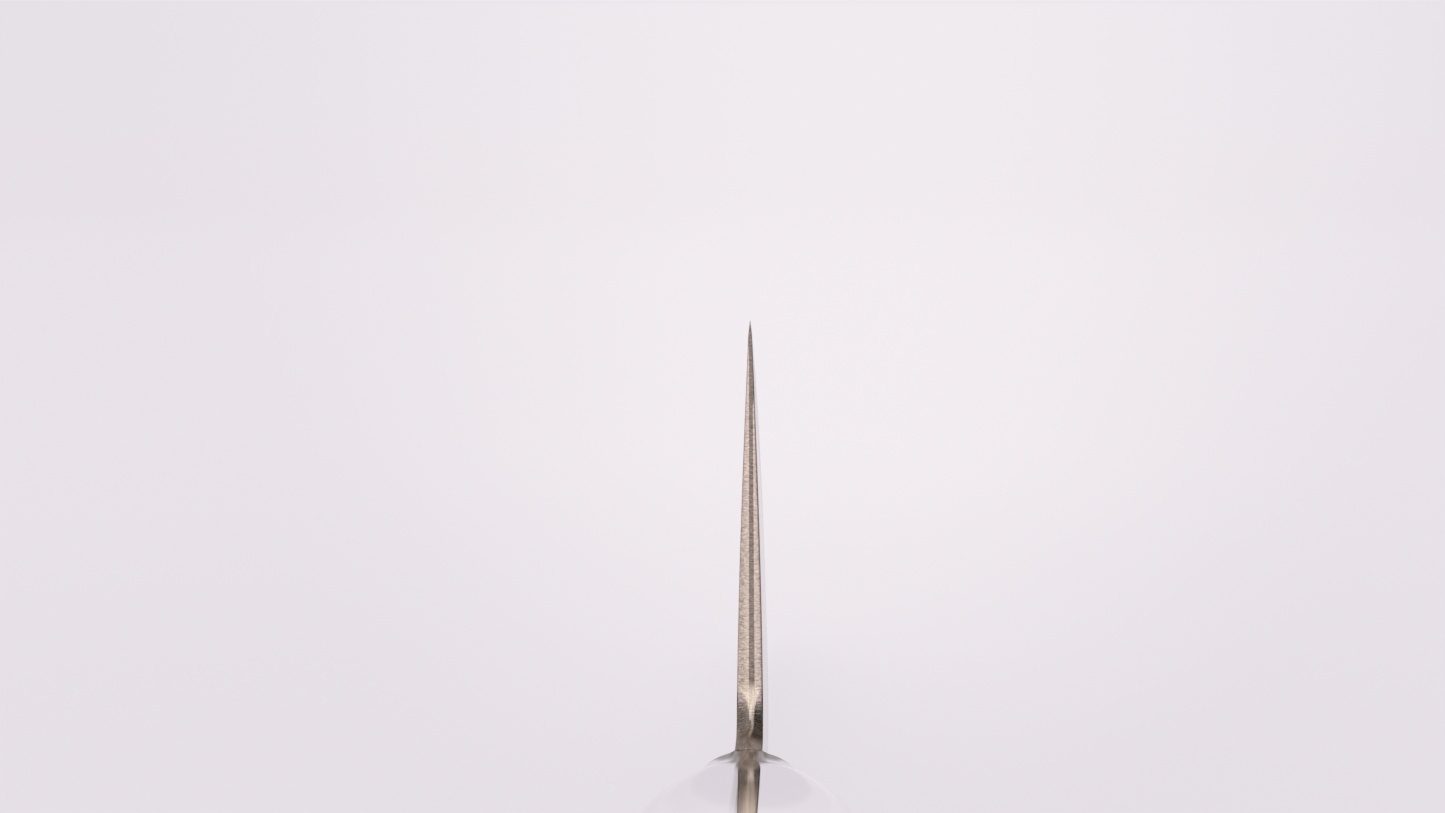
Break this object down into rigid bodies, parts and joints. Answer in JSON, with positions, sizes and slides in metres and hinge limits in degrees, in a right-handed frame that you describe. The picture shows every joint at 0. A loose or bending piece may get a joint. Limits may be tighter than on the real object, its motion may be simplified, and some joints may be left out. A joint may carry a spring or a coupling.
{
  "type": "boning knife",
  "caption": "Japanese boning knife (honesuki) for cutting meat from the bone: laminated blade with a choil, polished bolster, full tang and riveted dark scales",
  "frame": {"origin": "centre of the underside of the bounding box, at mid length", "axes": "+X to the blade's right-hand face seen from the butt; +Y from the butt towards the point; +Z from the spine towards the cutting edge. The knife stands on its spine and on the back of its handle"},
  "size_m": [0.018, 0.276, 0.0412],
  "materials": {
    "core_steel": "hardened high-carbon stainless, ground across the choil",
    "cladding_steel": "soft stainless, satin ground",
    "bolster_steel": "stainless, mirror polished",
    "tang_steel": "soft stainless, linished flush with the scales",
    "rivet_steel": "stainless, dressed flush",
    "handle_wood": "black resin-laminated wood, satin"
  },
  "bodies": {
    "root": {"blade_core": "core_steel", "blade_cladding_left": "cladding_steel", "blade_cladding_right": "cladding_steel", "bolster": "bolster_steel", "tang": "tang_steel", "scale_left": "handle_wood", "scale_right": "handle_wood", "rivet_front_tube": "rivet_steel", "rivet_front_pin": "rivet_steel", "rivet_middle_tube": "rivet_steel", "rivet_middle_pin": "rivet_steel", "rivet_rear_tube": "rivet_steel", "rivet_rear_pin": "rivet_steel"}
  },
  "joints": []
}
